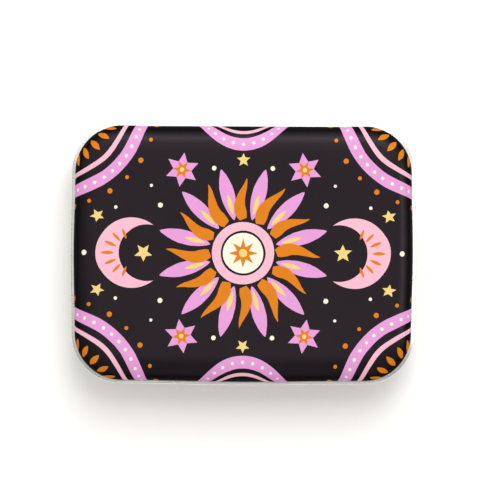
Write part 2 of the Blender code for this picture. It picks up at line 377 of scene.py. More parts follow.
def arc(centre, radius, start, turn, steps, height_radius=None):
    """Points on an arc or, with a second radius, on part of an ellipse, both ends included."""
    rise = radius if height_radius is None else height_radius
    points = []
    for step in range(steps + 1):
        angle = start + turn * step / steps
        points.append((centre[0] + radius * math.cos(angle), centre[1] + rise * math.sin(angle)))
    return points


def both_sides(path, thickness):
    """The two faces of a sheet of a given thickness whose middle follows a path."""
    left, right = [], []
    points = [Vector(point) for point in path]
    for index, point in enumerate(points):
        before = (point - points[index - 1]).normalized() if index else None
        after = (points[index + 1] - point).normalized() if index + 1 < len(points) else None
        before = before or after
        after = after or before
        along = (before + after).normalized()
        across = Vector((-along.y, along.x))
        reach = thickness / 2 / max(along.dot(before), MITRE_LIMIT)
        left.append(point + across * reach)
        right.append(point - across * reach)
    return left, right


def lid_wall_path(form):
    """The middle of the lid's sheet, from its flat top over the shoulder and down the skirt."""
    shoulder = arc((-form.reach, form.top - form.drop), form.reach - form.half_sheet, QUARTER,
                   -QUARTER, SHOULDER_STEPS, form.drop - form.half_sheet)
    low = form.lid_edge + form.rim_roll
    high = form.top - form.drop
    skirt = [(-form.half_sheet, high + (low - high) * step / SKIRT_STEPS)
             for step in range(1, SKIRT_STEPS)]
    return [(-form.reach - form.top_margin, form.top - form.half_sheet)] + shoulder + skirt


def lid_path(form):
    """The middle of the lid's sheet, with its edge rolled outward."""
    centre = (form.rim_roll - form.sheet, form.lid_edge + form.rim_roll)
    roll = arc(centre, form.rim_roll - form.half_sheet, math.pi, RIM_TURN, ROLL_STEPS)
    return lid_wall_path(form) + roll


def coat_path(form):
    """The middle of the lacquer on the lid's outside, down to where the edge turns out."""
    low = form.lid_edge + form.rim_roll
    path = lid_wall_path(form) + [(-form.half_sheet, low + COAT_MARGIN)]
    outside, _ = both_sides(path, form.sheet + form.coat)
    return [tuple(point) for point in outside]


def closed_section(path, thickness):
    """A sheet's whole section as offset, height and share of the way to the tin's middle."""
    outside, inside = both_sides(path, thickness)
    shares = [1 - ring / MIDDLE_RINGS for ring in range(MIDDLE_RINGS)]
    section = [(*outside[0], part) for part in shares]
    section += [(*point, 0.0) for point in outside]
    section += [(*point, 0.0) for point in reversed(inside)]
    section += [(*inside[0], part) for part in reversed(shares)]
    return section


def bead_path(form):
    """The tray's stop bead: out over the wall, round, and in to the neck's line."""
    low = form.bead_top - form.bead_height
    wall, neck = -form.half_sheet, -form.neck_line - form.half_sheet
    points = []
    for step in range(BEAD_STEPS + 1):
        part = step / BEAD_STEPS
        swell = (1 - math.cos(math.tau * part)) / 2
        lean = max(2 * part - 1, 0)
        offset = wall + (neck - wall) * lean ** 2 + form.bead * swell
        points.append((offset, low + form.bead_height * part))
    return points


def ledge_path(form, neck_line):
    """The tray's pressed-in stretch at the back: a ledge, then a wall up the given line."""
    low = form.pin_z - form.tray_relief - form.half_sheet
    wall, neck = -form.half_sheet, -neck_line - form.half_sheet
    points = []
    for step in range(BEAD_STEPS + 1):
        part = ease(min(2 * step / BEAD_STEPS, 1))
        rest = max(2 * step / BEAD_STEPS - 1, 0)
        rise = form.ledge_rise * min(2 * step / BEAD_STEPS, 1)
        height = low + rise + (form.bead_top - low - form.ledge_rise) * rest
        points.append((wall + (neck - wall) * part, height))
    return points


def tray_path(form, station):
    """The middle of the tray's sheet, from its floor out, up the wall and round the neck's top."""
    neck_line = form.neck_line + (form.pocket_line - form.neck_line) * station.pocket
    edge = form.foot_fillet + form.foot_width
    floor = form.half_sheet
    panel = []
    for step in range(FILLET_STEPS + 1):
        rest = 1 - step / FILLET_STEPS
        panel.append((-edge - form.panel_slope * rest, floor + form.panel_rise * ease(rest)))
    foot = arc((-form.foot_fillet, form.foot_fillet), form.foot_fillet - form.half_sheet, -QUARTER,
               QUARTER, FILLET_STEPS)
    plain, pressed = bead_path(form), ledge_path(form, neck_line)
    upper = [tuple(Vector(one).lerp(Vector(other), station.relief))
             for one, other in zip(plain, pressed)]
    centre = (-neck_line - form.neck_roll, form.neck_top - form.neck_roll)
    roll = arc(centre, form.neck_roll - form.half_sheet, 0, NECK_TURN, ROLL_STEPS)
    return panel + foot + upper + roll


# Meshes


def link(name, data):
    """A new object in the scene."""
    shape = bpy.data.objects.new(name, data)
    bpy.context.scene.collection.objects.link(shape)
    return shape


def as_object(name, mesh, inks=()):
    """Turns a bmesh into an object whose faces point out."""
    bmesh.ops.recalc_face_normals(mesh, faces=mesh.faces)
    data = bpy.data.meshes.new(name)
    mesh.to_mesh(data)
    mesh.free()
    for ink in inks:
        data.materials.append(ink)
    return link(name, data)


def smooth(shape):
    """Smooth shading, with the sheet's edges left crisp."""
    shape.data.shade_smooth()
    shape.data.set_sharp_from_angle(angle=SMOOTH_ANGLE)
    return shape


def discard(*shapes):
    """Removes helper objects and their meshes."""
    for shape in shapes:
        data = shape.data
        bpy.data.objects.remove(shape, do_unlink=True)
        if data and not data.users:
            bpy.data.meshes.remove(data)


def bake(helper, name):
    """What a helper's modifiers make, as a plain mesh in an object of its own."""
    depsgraph = bpy.context.evaluated_depsgraph_get()
    result = helper.evaluated_get(depsgraph)
    data = bpy.data.meshes.new_from_object(result, preserve_all_data_layers=True,
                                           depsgraph=depsgraph)
    data.name = name
    discard(helper)
    return link(name, data)


def tidy(shape):
    """Merges doubled points and drops what is left without area, then points faces outward."""
    mesh = bmesh.new()
    mesh.from_mesh(shape.data)
    bmesh.ops.remove_doubles(mesh, verts=mesh.verts, dist=TIDY_GAP)
    bmesh.ops.dissolve_degenerate(mesh, edges=mesh.edges, dist=TIDY_GAP / 2)
    bmesh.ops.recalc_face_normals(mesh, faces=mesh.faces)
    mesh.to_mesh(shape.data)
    mesh.free()
    return shape


def points_object(name, points, **layers):
    """Loose points that a node tree reads, with any further values that they carry."""
    data = bpy.data.meshes.new(name)
    data.from_pydata([tuple(point) for point in points], [], [])
    kinds = {float: "FLOAT", int: "INT", tuple: "FLOAT_VECTOR"}
    for label, values in layers.items():
        layer = data.attributes.new(label, kinds[type(values[0])], "POINT")
        for slot, value in zip(layer.data, values):
            if isinstance(value, tuple):
                slot.vector = value
            else:
                slot.value = value
    return link(name, data)


def extruded_strip(mesh, path, thickness, start_x, end_x):
    """Adds a closed strip whose section follows a path of (y, z), between two values of x."""
    left, right = both_sides(path, thickness)
    section = left + right[::-1]
    near = [mesh.verts.new((start_x, spot.x, spot.y)) for spot in section]
    far = [mesh.verts.new((end_x, spot.x, spot.y)) for spot in section]
    size = len(section)
    for low in range(size):
        high = (low + 1) % size
        mesh.faces.new((near[low], near[high], far[high], far[low]))
    for low in range(len(path) - 1):
        other = size - 1 - low
        mesh.faces.new((near[low + 1], near[low], near[other], near[other - 1]))
        mesh.faces.new((far[low], far[low + 1], far[other - 1], far[other]))


def block(name, low, high):
    """A closed box between two corners."""
    mesh = bmesh.new()
    bmesh.ops.create_cube(mesh, size=1)
    for vertex in mesh.verts:
        for axis in range(3):
            vertex.co[axis] = high[axis] if vertex.co[axis] > 0 else low[axis]
    return as_object(name, mesh)


def combine(shape, helper, operation):
    """Cuts a helper from an object, or joins it on."""
    change = shape.modifiers.new(helper.name, "BOOLEAN")
    change.operation = operation
    change.solver = "EXACT"
    change.object = helper


# Node trees


def fill(tree, socket, value):
    """Gives an input a value, or joins an output to it."""
    if isinstance(value, bpy.types.NodeSocket):
        tree.links.new(value, socket)
    else:
        socket.default_value = value


def node(tree, kind, inputs=None, **settings):
    """Adds a node with its options and inputs, and returns it."""
    made = tree.nodes.new(kind)
    for name, value in settings.items():
        setattr(made, name, value)
    for key, value in (inputs or {}).items():
        fill(tree, made.inputs[key], value)
    return made


def maths(tree, operation, first, *others):
    """A sum on numbers, worked from left to right where there are more than two."""
    if not others:
        return node(tree, "ShaderNodeMath", {0: first}, operation=operation).outputs[0]
    for other in others:
        first = node(tree, "ShaderNodeMath", {0: first, 1: other}, operation=operation).outputs[0]
    return first


def weighted(tree, *parts):
    """The sum of several values, each times its share."""
    return maths(tree, "ADD", *[maths(tree, "MULTIPLY", *part) for part in parts])


def vectors(tree, operation, *values):
    """A sum on vectors."""
    keys = (0, 3) if operation == "SCALE" else range(3)
    made = node(tree, "ShaderNodeVectorMath", dict(zip(keys, values)), operation=operation)
    return made.outputs["Value" if operation in ("LENGTH", "DOT_PRODUCT") else "Vector"]


def spread(tree, value, low, high, to_low=0.0, to_high=1.0):
    """A number moved from one range to another and held there."""
    inputs = {0: value, 1: low, 2: high, 3: to_low, 4: to_high}
    return node(tree, "ShaderNodeMapRange", inputs, clamp=True).outputs[0]


def height_of(tree, value):
    """The part of a place or a direction that points up."""
    return node(tree, "ShaderNodeSeparateXYZ", {0: value}).outputs["Z"]


def new_tree(name, inputs):
    """A geometry tree with named inputs. Returns the tree and its input node's outputs."""
    tree = bpy.data.node_groups.new(name, "GeometryNodeTree")
    for label, kind in inputs:
        tree.interface.new_socket(label, in_out="INPUT", socket_type="NodeSocket" + kind)
    tree.interface.new_socket("Geometry", in_out="OUTPUT", socket_type="NodeSocketGeometry")
    return tree, node(tree, "NodeGroupInput").outputs


def end_tree(tree, geometry, material):
    """Realizes what a tree made, gives it its material, and ends the tree."""
    whole = node(tree, "GeometryNodeRealizeInstances", {"Geometry": geometry}).outputs[0]
    painted = node(tree, "GeometryNodeSetMaterial", {"Geometry": whole, "Material": material})
    node(tree, "NodeGroupOutput", {"Geometry": painted.outputs[0]})


def run_tree(tree, start, values, name):
    """Runs a tree on an object and keeps the result as a plain mesh."""
    change = start.modifiers.new(tree.name, "NODES")
    change.node_group = tree
    keys = {item.name: item.identifier for item in tree.interface.items_tree
            if item.in_out == "INPUT"}
    for label, value in values.items():
        change[keys[label]] = value
    return bake(start, name)


def sampled(tree, geometry, field, index):
    """A vector read from one point of another shape."""
    made = node(tree, "GeometryNodeSampleIndex",
                {"Geometry": geometry, "Value": field, "Index": index}, data_type="FLOAT_VECTOR")
    return made.outputs[0]


def point_count(tree, geometry):
    """How many points a shape has."""
    return node(tree, "GeometryNodeAttributeDomainSize", {"Geometry": geometry}).outputs[0]


def named(tree, name, kind):
    """An attribute, read by its name."""
    return node(tree, "GeometryNodeInputNamedAttribute", {"Name": name}, data_type=kind).outputs[0]


def sheet_tree():
    """A pressed sheet: one section carried round an outline and closed over the middle."""
    tree, given = new_tree("Pressed Sheet", [
        ("Geometry", "Geometry"), ("Section", "Object"), ("Middle", "Vector"),
        ("Weld", "Float"), ("Material", "Material")])
    section = node(tree, "GeometryNodeObjectInfo", {"Object": given["Section"]}).outputs["Geometry"]
    stations = point_count(tree, given["Geometry"])
    rows = point_count(tree, section)
    grid = node(tree, "GeometryNodeMeshGrid",
                {"Vertices X": maths(tree, "ADD", stations, 1), "Vertices Y": rows})
    index = node(tree, "GeometryNodeInputIndex").outputs[0]
    row = maths(tree, "MODULO", index, rows)
    column = maths(tree, "FLOOR", maths(tree, "DIVIDE", maths(tree, "ADD", index, 0.5), rows))
    column = maths(tree, "MODULO", column, stations)
    place = node(tree, "GeometryNodeInputPosition").outputs[0]
    point = sampled(tree, given["Geometry"], place, column)
    outward = sampled(tree, given["Geometry"], named(tree, "outward", "FLOAT_VECTOR"), column)
    spot = node(tree, "ShaderNodeSeparateXYZ", {0: sampled(tree, section, place, row)}).outputs
    wall = vectors(tree, "ADD", point, vectors(tree, "SCALE", outward, spot["X"]))
    inward = vectors(tree, "SUBTRACT", given["Middle"], wall)
    flat = vectors(tree, "ADD", wall, vectors(tree, "SCALE", inward, spot["Z"]))
    height = node(tree, "ShaderNodeCombineXYZ", {"Z": spot["Y"]}).outputs[0]
    moved = node(tree, "GeometryNodeSetPosition",
                 {"Geometry": grid.outputs[0], "Position": vectors(tree, "ADD", flat, height)})
    welded = node(tree, "GeometryNodeMergeByDistance",
                  {"Geometry": moved.outputs[0], "Distance": given["Weld"]})
    end_tree(tree, welded.outputs[0], given["Material"])
    return tree


def row_tree():
    """A row of like pieces, evenly spaced along X."""
    tree, given = new_tree("Knuckle Row", [
        ("Geometry", "Geometry"), ("Count", "Int"), ("First", "Float"), ("Pitch", "Float"),
        ("Material", "Material")])
    start = node(tree, "ShaderNodeCombineXYZ", {"X": given["First"]}).outputs[0]
    step = node(tree, "ShaderNodeCombineXYZ", {"X": given["Pitch"]}).outputs[0]
    line = node(tree, "GeometryNodeMeshLine",
                {"Count": given["Count"], "Start Location": start, "Offset": step})
    row = node(tree, "GeometryNodeInstanceOnPoints",
               {"Points": line.outputs[0], "Instance": given["Geometry"]})
    end_tree(tree, row.outputs[0], given["Material"])
    return tree


def print_tree():
    """Flat motifs set out on the lid's plan, wrapped over its shoulder and given thickness."""
    tree, given = new_tree("Print On Lid", [
        ("Geometry", "Geometry"), ("Motifs", "Collection"), ("Surface", "Object"),
        ("Inner Corner", "Vector"), ("Flat Radius", "Float"), ("Shoulder Reach", "Float"),
        ("Shoulder Drop", "Float"), ("Shoulder Length", "Float"), ("Print Reach", "Float"),
        ("Middle", "Vector"), ("Clearance", "Float"), ("Ink Root", "Float"), ("Ink Top", "Float"),
        ("Weld", "Float"), ("Material", "Material")])
    motifs = node(tree, "GeometryNodeCollectionInfo",
                  {"Collection": given["Motifs"], "Separate Children": True,
                   "Reset Children": True})
    turn = node(tree, "ShaderNodeCombineXYZ", {"Z": named(tree, "turn", "FLOAT")}).outputs[0]
    set_out = node(tree, "GeometryNodeInstanceOnPoints", {
        "Points": given["Geometry"], "Instance": motifs.outputs[0], "Pick Instance": True,
        "Instance Index": named(tree, "motif", "INT"), "Rotation": turn,
        "Scale": named(tree, "size", "FLOAT")})
    flat = node(tree, "GeometryNodeRealizeInstances", {"Geometry": set_out.outputs[0]}).outputs[0]
    place = node(tree, "GeometryNodeInputPosition").outputs[0]
    side = vectors(tree, "SIGN", place)
    plan = vectors(tree, "ABSOLUTE", place)
    beyond = vectors(tree, "MAXIMUM", vectors(tree, "SUBTRACT", plan, given["Inner Corner"]),
                     (0, 0, 0))
    radial = vectors(tree, "LENGTH", beyond)
    past = maths(tree, "SUBTRACT", radial, given["Flat Radius"])
    outside = node(tree, "GeometryNodeFieldOnDomain",
                   {0: maths(tree, "GREATER_THAN", past, given["Print Reach"])},
                   data_type="BOOLEAN", domain="POINT").outputs[0]
    trimmed = node(tree, "GeometryNodeDeleteGeometry", {"Geometry": flat, "Selection": outside},
                   domain="FACE")
    along = maths(tree, "MINIMUM", maths(tree, "MAXIMUM", past, 0), given["Print Reach"])
    bend = maths(tree, "MINIMUM", maths(tree, "DIVIDE", along, given["Shoulder Length"]), 1)
    bend = maths(tree, "MULTIPLY", bend, QUARTER)
    fall = maths(tree, "MAXIMUM", maths(tree, "SUBTRACT", along, given["Shoulder Length"]), 0)
    wide = maths(tree, "ADD", given["Shoulder Reach"], given["Clearance"])
    tall = maths(tree, "ADD", given["Shoulder Drop"], given["Clearance"])
    out = maths(tree, "ADD", maths(tree, "MINIMUM", radial, given["Flat Radius"]),
                maths(tree, "MULTIPLY", wide, maths(tree, "SINE", bend)))
    rise = maths(tree, "SUBTRACT", maths(tree, "MULTIPLY", tall, maths(tree, "COSINE", bend)),
                 maths(tree, "ADD", fall, given["Shoulder Drop"]))
    outward = vectors(tree, "MULTIPLY", vectors(tree, "NORMALIZE", beyond), side)
    base = vectors(tree, "MULTIPLY", vectors(tree, "MINIMUM", plan, given["Inner Corner"]), side)
    wrapped = vectors(tree, "ADD", base, vectors(tree, "SCALE", outward, out))
    lift = node(tree, "ShaderNodeCombineXYZ", {"Z": rise}).outputs[0]
    wrapped = vectors(tree, "ADD", vectors(tree, "ADD", wrapped, lift), given["Middle"])
    lid = node(tree, "GeometryNodeObjectInfo", {"Object": given["Surface"]}).outputs["Geometry"]
    nearest = node(tree, "GeometryNodeProximity", {0: lid, "Source Position": wrapped},
                   target_element="FACES").outputs["Position"]
    facing = node(tree, "GeometryNodeSampleNearestSurface", {
        "Mesh": lid, "Value": node(tree, "GeometryNodeInputNormal").outputs[0],
        "Sample Position": wrapped}, data_type="FLOAT_VECTOR").outputs[0]
    stored = node(tree, "GeometryNodeStoreNamedAttribute", {
        "Geometry": trimmed.outputs[0], "Name": "facing", "Value": facing},
        data_type="FLOAT_VECTOR", domain="POINT")
    rooted = vectors(tree, "SUBTRACT", nearest, vectors(tree, "SCALE", facing, given["Ink Root"]))
    laid = node(tree, "GeometryNodeSetPosition",
                {"Geometry": stored.outputs[0], "Position": rooted}).outputs[0]
    raised = node(tree, "GeometryNodeExtrudeMesh", {
        "Mesh": laid, "Offset": named(tree, "facing", "FLOAT_VECTOR"),
        "Offset Scale": maths(tree, "ADD", given["Ink Root"], given["Ink Top"]),
        "Individual": False}, mode="FACES").outputs[0]
    under = node(tree, "GeometryNodeFlipFaces", {"Mesh": laid}).outputs[0]
    both = node(tree, "GeometryNodeJoinGeometry", {"Geometry": raised})
    fill(tree, both.inputs["Geometry"], under)
    plain = node(tree, "GeometryNodeRemoveAttribute",
                 {"Geometry": both.outputs[0], "Name": "facing"})
    welded = node(tree, "GeometryNodeMergeByDistance",
                  {"Geometry": plain.outputs[0], "Distance": given["Weld"]})
    end_tree(tree, welded.outputs[0], given["Material"])
    return tree


# Motifs of the print, drawn in millimetres


def hand(rng, reach):
    """A small slow wander, as a hand-cut edge has."""
    waves = [(count, rng.uniform(0, math.tau)) for count in (2, 3, 5)]
    return lambda part: reach / 3 * sum(math.sin(math.tau * count * part + start)
                                        for count, start in waves)


def strip(one, other, across):
    """A flat sheet of quads between two edges that have as many points."""
    points, faces = [], []
    for a, b in zip(one, other):
        points += [Vector(a).lerp(Vector(b), step / across) for step in range(across + 1)]
    width = across + 1
    for row in range(len(one) - 1):
        for step in range(across):
            low = row * width + step
            faces.append((low, low + 1, low + width + 1, low + width))
    return points, faces


def uneven_circle(rng, radius, wander, steps):
    """A circle whose edge wanders a little, closed by its first point."""
    uneven = hand(rng, wander)
    edge = []
    for step in range(steps + 1):
        part = step % steps / steps
        reach = radius + uneven(part)
        edge.append((reach * math.cos(math.tau * part), reach * math.sin(math.tau * part)))
    return edge


def round_patch(rng, radius, wander=0.07, grain=PATCH_GRAIN):
    """A disc with a slightly uneven edge."""
    steps = max(14, round(math.tau * radius / grain))
    edge = uneven_circle(rng, radius, wander, steps)
    return strip([(0, 0)] * len(edge), edge, max(2, round(radius / grain)))


def loop(rng, inner, outer):
    """A ring with slightly uneven edges."""
    steps = round(math.tau * outer / PATCH_GRAIN)
    edges = [uneven_circle(rng, radius, RING_WANDER, steps) for radius in (inner, outer)]
    return strip(*edges, max(2, round((outer - inner) / PATCH_GRAIN)))


def star(rng, tips, outer, inner):
    """A star with straight-cut points, each a little different."""
    corners = []
    for index in range(2 * tips):
        radius = (inner if index % 2 else outer) + rng.uniform(-STAR_WANDER, STAR_WANDER)
        turn = rng.uniform(-STAR_WANDER, STAR_WANDER) / outer / 2
        angle = QUARTER + math.pi * index / tips + turn
        corners.append(Vector((radius * math.cos(angle), radius * math.sin(angle))))
    corners.append(corners[0])
    edge = []
    for low, high in zip(corners, corners[1:]):
        steps = max(2, round((high - low).length / PATCH_GRAIN))
        edge += [low.lerp(high, step / steps) for step in range(steps)]
    edge.append(corners[0])
    return strip([(0, 0)] * len(edge), edge, max(2, round(outer / PATCH_GRAIN)))


def ribbon(rng, spine, width_at):
    """A strip along a line of points, with its width given at each share of the way."""
    points = [Vector(point) for point in spine]
    uneven = hand(rng, RIBBON_WANDER), hand(rng, RIBBON_WANDER)
    one, other = [], []
    last = len(points) - 1
    for index, point in enumerate(points):
        along = (points[min(index + 1, last)] - points[max(index - 1, 0)]).normalized()
        across = Vector((-along.y, along.x))
        part = index / last
        half = width_at(part) / 2
        steady = min(half, 1)
        one.append(point - across * (half + uneven[0](part) * steady))
        other.append(point + across * (half + uneven[1](part) * steady))
    widest = max(width_at(step / 20) for step in range(21))
    return strip(one, other, max(2, round(widest / PATCH_GRAIN)))


def stroke(rng, start, end, width, breadth, bend=0.0, grain=LINE_GRAIN):
    """A stroke along +X that sways to one side and back, with its breadth at each share."""
    steps = max(4, round((end - start) / grain))
    spine = [(start + (end - start) * step / steps,
              bend * math.sin(math.tau * SWAY_WAVES * step / steps)) for step in range(steps + 1)]
    return ribbon(rng, spine, lambda part: width * breadth(part))


def band(rng, radius, start, turn, width):
    """Part of a ring round the origin, from a start angle through a turn, both in degrees."""
    start, turn = math.radians(start), math.radians(turn)
    steps = max(6, round(radius * abs(turn) / LINE_GRAIN))
    return ribbon(rng, arc((0, 0), radius, start, turn, steps), lambda part: width)


def flame_width(part):
    """A flame's breadth: narrow at its foot, fullest at a fifth of the way, then to a point."""
    return (1 - part) ** 0.8 * (1 - 0.55 * (1 - part) ** 7)


def lens_width(part):
    """The breadth of a stroke that comes to a point at both ends."""
    return math.sin(math.pi * part) ** 0.75


def crescent(rng, radius, hole, shift):
    """A crescent moon that opens towards -X."""
    meet_x = (hole ** 2 - radius ** 2 - shift ** 2) / (2 * shift)
    meet = math.acos(meet_x / radius)
    hole_meet = math.acos((meet_x + shift) / hole)
    steps = round(2 * meet * radius / PATCH_GRAIN)
    uneven = hand(rng, RING_WANDER), hand(rng, RING_WANDER)
    outer, inner = [], []
    for step in range(steps + 1):
        part = step / steps
        steady = math.sin(math.pi * part)
        turn, hole_turn = meet * (2 * part - 1), hole_meet * (2 * part - 1)
        reach, hole_reach = radius + uneven[0](part) * steady, hole + uneven[1](part) * steady
        outer.append((reach * math.cos(turn), reach * math.sin(turn)))
        inner.append((hole_reach * math.cos(hole_turn) - shift, hole_reach * math.sin(hole_turn)))
    return strip(inner, outer, 7)


# The print's layout, in millimetres from the lid's middle. Each spot is motif, x, y, turn
# in degrees and size.


def four_ways(motif, x, y, turn=0, size=1):
    """The same motif in all four quarters, turned to match."""
    return [(motif, x, y, turn, size), (motif, -x, y, 180 - turn, size),
            (motif, -x, -y, 180 + turn, size), (motif, x, -y, -turn, size)]


def both_ends(motif, x, size=1):
    """The same motif on the right and on the left, the left one turned round."""
    return [(motif, x, 0, 0, size), (motif, -x, 0, 180, size)]


def back_and_front(motif, y, size=1):
    """The same motif behind and in front, the front one turned round."""
    return [(motif, 0, y, 0, size), (motif, 0, -y, 180, size)]


def round_the_sun(motif, count, first=0.0):
    """A motif repeated round the middle."""
    return [(motif, 0, 0, first + 360 * step / count, 1) for step in range(count)]


def on_circle(centre, radius, degrees):
    """The point at an angle on a circle."""
    angle = math.radians(degrees)
    return centre[0] + radius * math.cos(angle), centre[1] + radius * math.sin(angle)


def print_motifs(rng):
    """Every motif by name, as points and faces."""
    return {
        "corner_band": band(rng, BAND_RADIUS, 172, 106, 3.9),
        "corner_line": band(rng, 24.1, 172, 106, 1.4),
        "corner_ray": stroke(rng, 16.6, 21.6, 1.9, lens_width, grain=0.25),
        "edge_scallop": band(rng, SCALLOP_RADIUS, 174, 192, 3.7),
        "edge_line": band(rng, 9.3, 174, 192, 1.3),
        "sun_disc": round_patch(rng, 6.5),
        "sun_ring": loop(rng, 7.2, 10.0),
        "sun_star": star(rng, 8, 4.7, 2.1),
        "sun_heart": round_patch(rng, 1.35),
        "flame_a": stroke(rng, 10.7, 24.8, 5.3, flame_width, 1.25),
        "flame_b": stroke(rng, 10.9, 24.1, 5.0, flame_width, 1.15),
        "glory": stroke(rng, 10.9, 27.8, 4.5, lens_width),
        "ray": stroke(rng, 12.6, 19.4, 1.5, lens_width, grain=0.5),
        "moon": crescent(rng, 11.3, 9.1, 5.0),
        "moon_stroke": stroke(rng, 5.6, 10.0, 1.1, lens_width, grain=0.4),
        "large_star": star(rng, 6, 5.6, 2.9),
        "star_core": star(rng, 6, 3.0, 1.3),
        "small_star": star(rng, 5, 2.5, 1.15),
        "dot": round_patch(rng, 1.0, 0.06, 0.3),
    }


def moon_strokes():
    """The fan of strokes inside each crescent, shorter towards its tips."""
    return [("moon_stroke", side * MOON_X, 0, end + turn, 1 - abs(turn) / 420)
            for end, side in ((0, 1), (180, -1)) for turn in range(-69, 70, 23)]


def corner_fans():
    """The beads outside each corner band and the rays inside it."""
    beads, rays = [], []
    for step in range(7):
        degrees = 189 + 12 * step
        size = 0.62 if step % 2 else 0.85
        beads += four_ways("dot", *on_circle(BAND_CENTRE, BEAD_RADIUS, degrees), 0, size)
        rays += four_ways("corner_ray", *BAND_CENTRE, degrees)
    return beads + rays


def pearl_rows():
    """The pearls that run along the corner bands and the scallops."""
    pearls = []
    for step in range(14):
        x, y = on_circle(BAND_CENTRE, BAND_RADIUS, 183 + 6.54 * step)
        pearls += four_ways("dot", x, y, 0, 0.56)
    for step in range(13):
        x, y = on_circle((0, SCALLOP_Y), SCALLOP_RADIUS, 184.5 + 14.25 * step)
        pearls += [("dot", x, y, 0, 0.52), ("dot", x, -y, 0, 0.52)]
    return pearls


def print_layers():
    """The spots of each ink, in the order in which the inks are laid down."""
    flames = round_the_sun("flame_a", 6) + round_the_sun("flame_b", 6, 30)
    corners = four_ways("corner_band", *BAND_CENTRE)
    corners = [(*spot[:3], 90 * quarter, 1) for quarter, spot in enumerate(corners)]
    lines = [("corner_line", *spot[1:]) for spot in corners]
    scallops = back_and_front("edge_scallop", SCALLOP_Y)
    thin = back_and_front("edge_line", SCALLOP_Y)
    stars = four_ways("large_star", *STAR_PLACE, 8)
    cores = four_ways("star_core", *STAR_PLACE, 38)
    pips = four_ways("dot", *STAR_PLACE, 0, 0.72)
    small = four_ways("small_star", 46.6, 11.9, 10, 0.86) + both_ends("small_star", 32.0, 1.2)
    small += back_and_front("small_star", 29.9, 0.9)
    dots = []
    for x, y, size in ((26.6, 15.3, 0.8), (9.4, 27.2, 0.75), (29.5, 21.6, 0.5), (40.9, 14.6, 0.55)):
        dots += four_ways("dot", x, y, 0, size)
    dots += both_ends("dot", 50.6, 0.85) + pearl_rows()
    return [
        ("lilac", corners + scallops + stars + round_the_sun("glory", 12, 15)),
        ("cream", round_the_sun("sun_disc", 1) + dots),
        ("pink", round_the_sun("sun_ring", 1) + both_ends("moon", MOON_X) + lines + thin),
        ("orange", flames + moon_strokes() + cores + round_the_sun("sun_star", 1) + corner_fans()),
        ("yellow", round_the_sun("ray", 12, 15) + small + pips + round_the_sun("sun_heart", 1)),
    ]


# Materials


def new_material(name):
    """A material and its parts: the tree, the shader, and the surface's own coordinates."""
    made = bpy.data.materials.new(name)
    made.use_nodes = True
    tree = made.node_tree
    return made, tree, tree.nodes["Principled BSDF"], node(tree, "ShaderNodeTexCoord").outputs


def noise(tree, place, scale, detail=2.0, stretch=None, rough=0.5):
    """Noise from 0 to 1, with its scale in features per metre."""
    if stretch:
        place = vectors(tree, "MULTIPLY", place, stretch)
    inputs = {"Vector": place, "Scale": scale, "Detail": detail, "Roughness": rough}
    return node(tree, "ShaderNodeTexNoise", inputs).outputs["Fac"]


def blend(tree, factor, one, other):
    """A colour between two colours."""
    colours = [value if isinstance(value, bpy.types.NodeSocket) else (*value, 1)
               for value in (one, other)]
    made = node(tree, "ShaderNodeMix", {0: factor, 6: colours[0], 7: colours[1]}, data_type="RGBA")
    return made.outputs[2]


def toned(value, factor):
    """A colour made darker or lighter."""
    return tuple(min(part * factor, 1.0) for part in value)


def shades(tree, factor, tint, dark, light):
    """A colour between a darker and a lighter shade of one tint."""
    return blend(tree, factor, toned(tint, dark), toned(tint, light))


def bumped(tree, height, distance, below=None):
    """A bump from a height between 0 and 1, with its depth in metres."""
    inputs = {"Strength": 1.0, "Distance": distance, "Height": height}
    if below:
        inputs["Normal"] = below
    return node(tree, "ShaderNodeBump", inputs).outputs[0]


def film(tree, skin, source, grain, finish, gloss, swing, skirt):
    """A film's sheen: satin, and dulled over the shoulder. Returns how far it was drawn there,
    which the lacquer also uses to place its painted shade.
    """
    rise = height_of(tree, source["Object"])
    drawn = maths(tree, "MULTIPLY", spread(tree, height_of(tree, source["Normal"]), *DRAWN_TILT),
                  spread(tree, rise, skirt - DRAWN_FADE, skirt))
    rough = spread(tree, grain, 0.25, 0.75, gloss - swing, gloss + swing)
    fill(tree, skin.inputs["Roughness"],
         maths(tree, "ADD", rough, maths(tree, "MULTIPLY", drawn, DRAWN_ROUGHER)))
    shine = skin.inputs["Specular IOR Level"]
    shine.default_value = finish.lacquer_shine
    fill(tree, shine, spread(tree, drawn, 0.0, 1.0, finish.lacquer_shine, DRAWN_SHINE))
    return drawn


def lacquer_material(finish, skirt):
    """Satin black lacquer: soft orange peel, faint cloudiness, fine dust under the film, and
    painted shade that darkens its colour over the outer shoulder.
    """
    made, tree, skin, source = new_material("black_lacquer")
    place = source["Object"]
    cloud = noise(tree, place, 70, 3)
    dust = node(tree, "ShaderNodeTexVoronoi", {"Vector": place, "Scale": 650.0}).outputs["Distance"]
    ground = shades(tree, spread(tree, cloud, 0.3, 0.7), finish.lacquer, 0.88, 1.14)
    speck = spread(tree, dust, 0.035, 0.02)
    ground = blend(tree, speck, ground, toned(finish.lacquer, 3.0))
    drawn = film(tree, skin, source, noise(tree, place, 260, 4), finish, finish.lacquer_gloss,
                 0.03, skirt)
    # Painted shade: the lacquer's colour darkens over the outer shoulder, down to just below where
    # the skirt begins, where the lid turns away from the light.
    painted_shade_ground = vectors(tree, "SCALE", ground, spread(tree, drawn, 0.0, 1.0, 1.0, SHOULDER_PAINTED_SHADE))
    fill(tree, skin.inputs["Base Color"], painted_shade_ground)
    skin.inputs["Specular Tint"].default_value = (*finish.lacquer_sheen, 1)
    peel = bumped(tree, noise(tree, place, 850, 2), 0.0045 * MM)
    fill(tree, skin.inputs["Normal"], bumped(tree, noise(tree, place, 5200, 2), 0.0006 * MM, peel))
    return made


